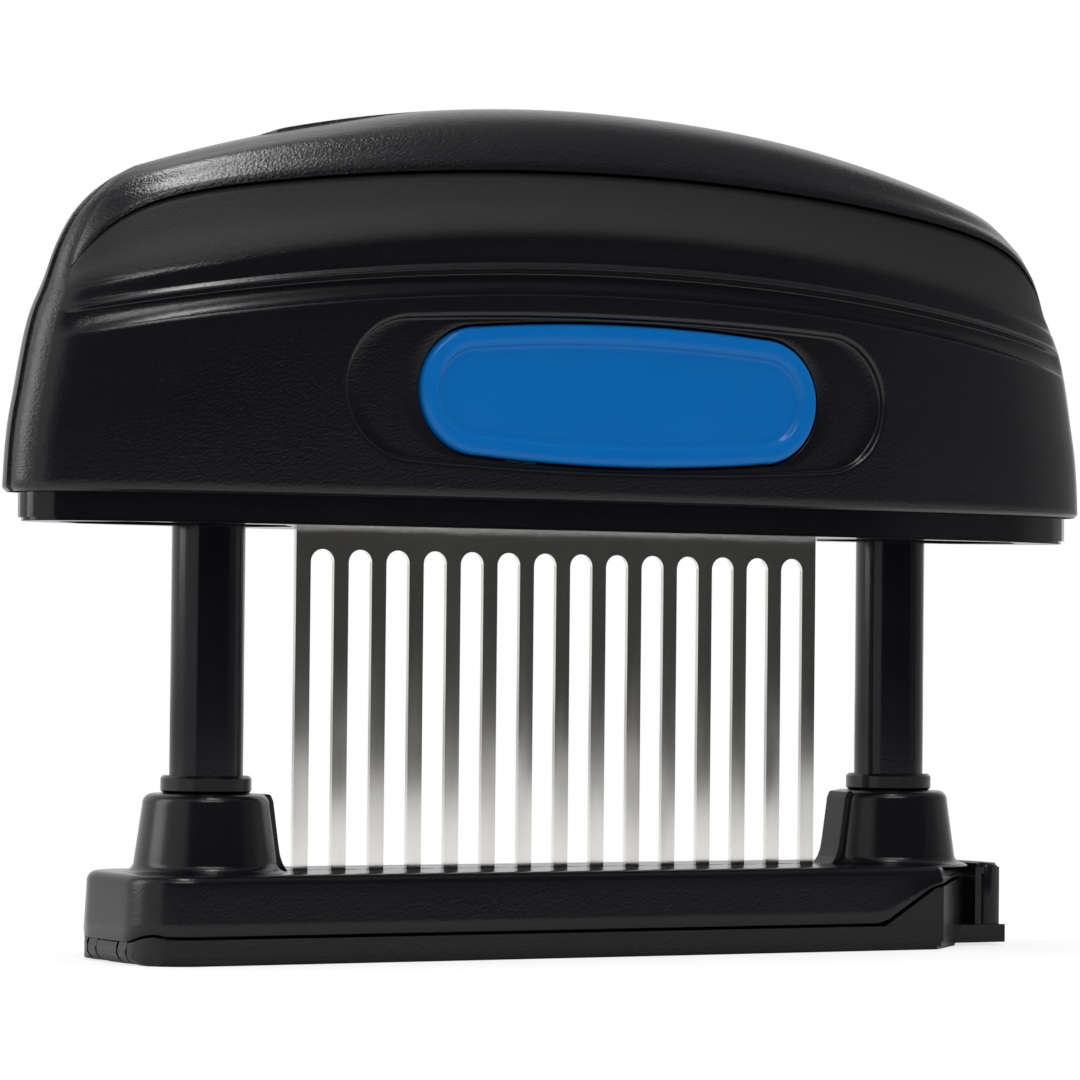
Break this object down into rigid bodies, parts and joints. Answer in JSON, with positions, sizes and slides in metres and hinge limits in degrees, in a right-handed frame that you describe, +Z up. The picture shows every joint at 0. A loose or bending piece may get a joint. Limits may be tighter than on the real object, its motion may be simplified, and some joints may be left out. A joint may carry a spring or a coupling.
{
  "type": "blade meat tenderizer",
  "caption": "Hand-held meat tenderizer: a comb of thin steel blades in an arched handle that slides down two columns through slots in a flat base, with a button and a hinged base cover.",
  "frame": {"origin": "on the table, under the middle of the handle", "axes": "+X along the handle towards the latch end, +Y away from the button side, +Z up"},
  "size_m": [0.146, 0.0272, 0.101],
  "materials": {
    "black_shell": "satin, fine moulded grain",
    "grey_strip": "satin, slightly softer than the shell",
    "blue_button": "satin",
    "black_inner": "plain moulded",
    "column_black": "smooth satin",
    "comb_steel": "stamped and polished sheet",
    "fastener_steel": "plain",
    "spring_steel": "drawn wire",
    "acetal_white": "smooth",
    "bumper_rubber": "matt"
  },
  "bodies": {
    "base": {"base_housing": "black_shell", "column_left": "column_black", "column_right": "column_black", "column_collars": "bumper_rubber", "stop_rings": "fastener_steel", "column_screws": "fastener_steel", "return_spring_left": "spring_steel", "return_spring_right": "spring_steel", "hinge_pin": "fastener_steel"},
    "handle": {"handle_shell": "black_shell", "grip_strip": "grey_strip", "carrier_plate": "black_shell", "comb_blade": "comb_steel", "clamp_bar_front": "black_inner", "clamp_bar_rear": "black_inner", "clamp_screws": "fastener_steel", "bar_screws": "fastener_steel", "column_bushes": "acetal_white", "spring_guides": "acetal_white", "button_springs": "spring_steel"},
    "button": {"release_button": "blue_button", "catch_slide": "black_inner"},
    "cover": {"base_cover": "black_shell"}
  },
  "joints": [
    {"name": "press", "type": "slide", "parent": "base", "child": "handle", "axis": [0, 0, -1], "range_m": [0, 0.0285], "stiffness_N_per_m": 500, "springref_m": -0.02, "deforming": ["return_spring_left", "return_spring_right"]},
    {"name": "button_press", "type": "slide", "parent": "handle", "child": "button", "axis": [0, 1, 0], "range_m": [0, 0.0018], "stiffness_N_per_m": 1500, "springref_m": -0.002},
    {"name": "cover_swing", "type": "hinge", "parent": "base", "child": "cover", "pos_m": [-0.05845, 0, 0.00165], "axis": [0, 1, 0], "range_deg": [0, 105]}
  ]
}
